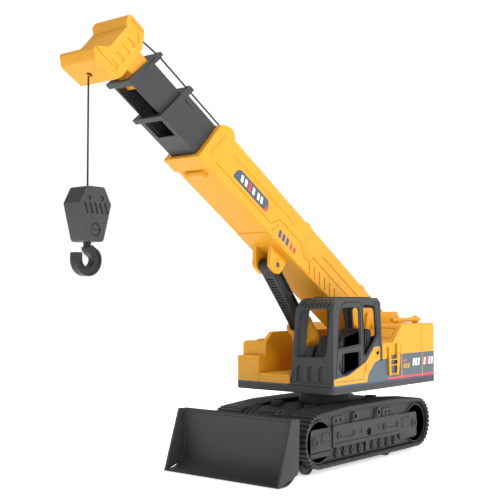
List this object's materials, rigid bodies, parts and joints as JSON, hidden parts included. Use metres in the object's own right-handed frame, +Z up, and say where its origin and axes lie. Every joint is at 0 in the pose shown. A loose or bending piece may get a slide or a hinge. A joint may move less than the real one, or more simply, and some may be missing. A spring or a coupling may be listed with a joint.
{
  "type": "toy crawler crane",
  "caption": "Toy crawler crane with a slewing house and cab, a telescopic luffing boom with a ram, a winch, a hook on a cord and a dozer blade.",
  "frame": {"origin": "on the ground, at the middle of the whole crane's length and width", "axes": "+Z up, -Y the way the blade and the boom point, +X the side the cab stands on"},
  "size_m": [0.124, 0.4197, 0.3526],
  "materials": {
    "yellow": "semi-gloss moulded ABS",
    "dark_grey": "satin moulded plastic",
    "black": "satin moulded plastic",
    "cord": "braided black cord",
    "steel": "plain bright steel"
  },
  "bodies": {
    "chassis": {"chassis_frame": "dark_grey", "track_belt_left": "dark_grey", "track_belt_right": "dark_grey", "side_frame_left": "dark_grey", "side_frame_right": "dark_grey", "turntable_lower": "dark_grey", "slew_pin": "steel", "beam_screw_front_left": "steel", "beam_screw_front_right": "steel", "beam_screw_rear_left": "steel", "beam_screw_rear_right": "steel", "blade_pin_left": "steel", "blade_pin_right": "steel"},
    "front_axle": {"front_axle": "steel", "front_wheel_left": "black", "front_wheel_right": "black"},
    "rear_axle": {"rear_axle": "steel", "rear_wheel_left": "black", "rear_wheel_right": "black"},
    "blade": {"blade": "dark_grey", "blade_arms": "dark_grey"},
    "house": {"turntable_upper": "dark_grey", "house_base": "dark_grey", "right_hood": "yellow", "left_hood": "yellow", "house_deck": "yellow", "rear_hood": "yellow", "boom_bracket": "yellow", "boom_pin": "steel", "ram_bracket": "yellow", "cab_shell": "dark_grey", "cab_side_panel": "yellow", "cab_seat": "black", "ladder": "yellow", "roof_pipe": "yellow"},
    "boom": {"boom_tube": "yellow", "boom_collar": "yellow", "boom_clevis": "yellow", "ram_pin": "steel", "cord_guide_front": "yellow", "cord_guide_rear": "yellow", "cord_on_boom": "cord"},
    "winch": {"winch_drum": "black", "winch_shaft": "steel", "winch_knob": "black"},
    "ram_rod": {"ram_rod": "black"},
    "ram_barrel": {"ram_barrel": "yellow"},
    "stage_1": {"stage_1": "dark_grey", "cord_to_stage_1": "cord"},
    "stage_2": {"stage_2": "dark_grey", "boom_head": "yellow", "pulley_axle": "steel", "cord_to_stage_2": "cord", "cord_to_head": "cord"},
    "pulley": {"head_pulley": "black"},
    "hook_line": {"cord_drop": "cord"},
    "hook_block": {"hook_block": "dark_grey", "block_screw": "dark_grey"},
    "hook": {"hook": "dark_grey"}
  },
  "joints": [
    {"name": "front_axle_roll", "type": "hinge", "parent": "chassis", "child": "front_axle", "pos_m": [0, 0.0075, 0.008], "axis": [1, 0, 0], "continuous": true},
    {"name": "rear_axle_roll", "type": "hinge", "parent": "chassis", "child": "rear_axle", "pos_m": [0, 0.1325, 0.008], "axis": [1, 0, 0], "continuous": true},
    {"name": "blade_lift", "type": "hinge", "parent": "chassis", "child": "blade", "pos_m": [0, -0.0025, 0.0165], "axis": [-1, 0, 0], "range_deg": [0, 12]},
    {"name": "slew", "type": "hinge", "parent": "chassis", "child": "house", "pos_m": [0, 0.0955, 0.0574], "axis": [0, 0, 1], "continuous": true},
    {"name": "luff", "type": "hinge", "parent": "house", "child": "boom", "pos_m": [0, 0.15591, 0.12039], "axis": [-1, 0, 0], "range_deg": [-9, 20]},
    {"name": "winch_turn", "type": "hinge", "parent": "boom", "child": "winch", "pos_m": [0, 0.13048, 0.13631], "axis": [-1, 0, 0], "range_deg": [-540, 560]},
    {"name": "ram_swing", "type": "hinge", "parent": "boom", "child": "ram_rod", "pos_m": [0, 0.01069, 0.17591], "axis": [-1, 0, 0], "range_deg": [-2.5, 5]},
    {"name": "ram_stroke", "type": "slide", "parent": "ram_rod", "child": "ram_barrel", "axis": [0, 0.6527, -0.7576], "range_m": [-0.0125, 0.027]},
    {"name": "stage_1_slide", "type": "slide", "parent": "boom", "child": "stage_1", "axis": [0, -0.8476, 0.5307], "range_m": [-0.035, 0.07], "deforming": ["cord_to_stage_1"]},
    {"name": "stage_2_slide", "type": "slide", "parent": "stage_1", "child": "stage_2", "axis": [0, -0.8476, 0.5307], "range_m": [-0.03, 0.06], "deforming": ["cord_to_stage_2"]},
    {"name": "pulley_turn", "type": "hinge", "parent": "stage_2", "child": "pulley", "pos_m": [0, -0.19081, 0.31623], "axis": [-1, 0, 0], "continuous": true},
    {"name": "hook_line", "type": "hinge", "parent": "stage_2", "child": "hook_line", "pos_m": [0, -0.1955, 0.306], "axis": [-1, 0, 0], "range_deg": [-21, 10]},
    {"name": "hoist", "type": "slide", "parent": "hook_line", "child": "hook_block", "axis": [0, 0, 1], "range_m": [-0.06, 0.062], "deforming": ["cord_drop"]},
    {"name": "hook_swivel", "type": "hinge", "parent": "hook_block", "child": "hook", "pos_m": [0, -0.1955, 0.19], "axis": [0, 0, 1], "continuous": true}
  ],
  "couplings": [
    {"joint": "ram_swing", "follows": "luff", "ratio": 0.21},
    {"joint": "ram_stroke", "follows": "luff", "m_per_rad": 0.075},
    {"joint": "hook_line", "follows": "luff", "ratio": -1},
    {"joint": "winch_turn", "follows": "hoist", "rad_per_m": 153.85}
  ]
}
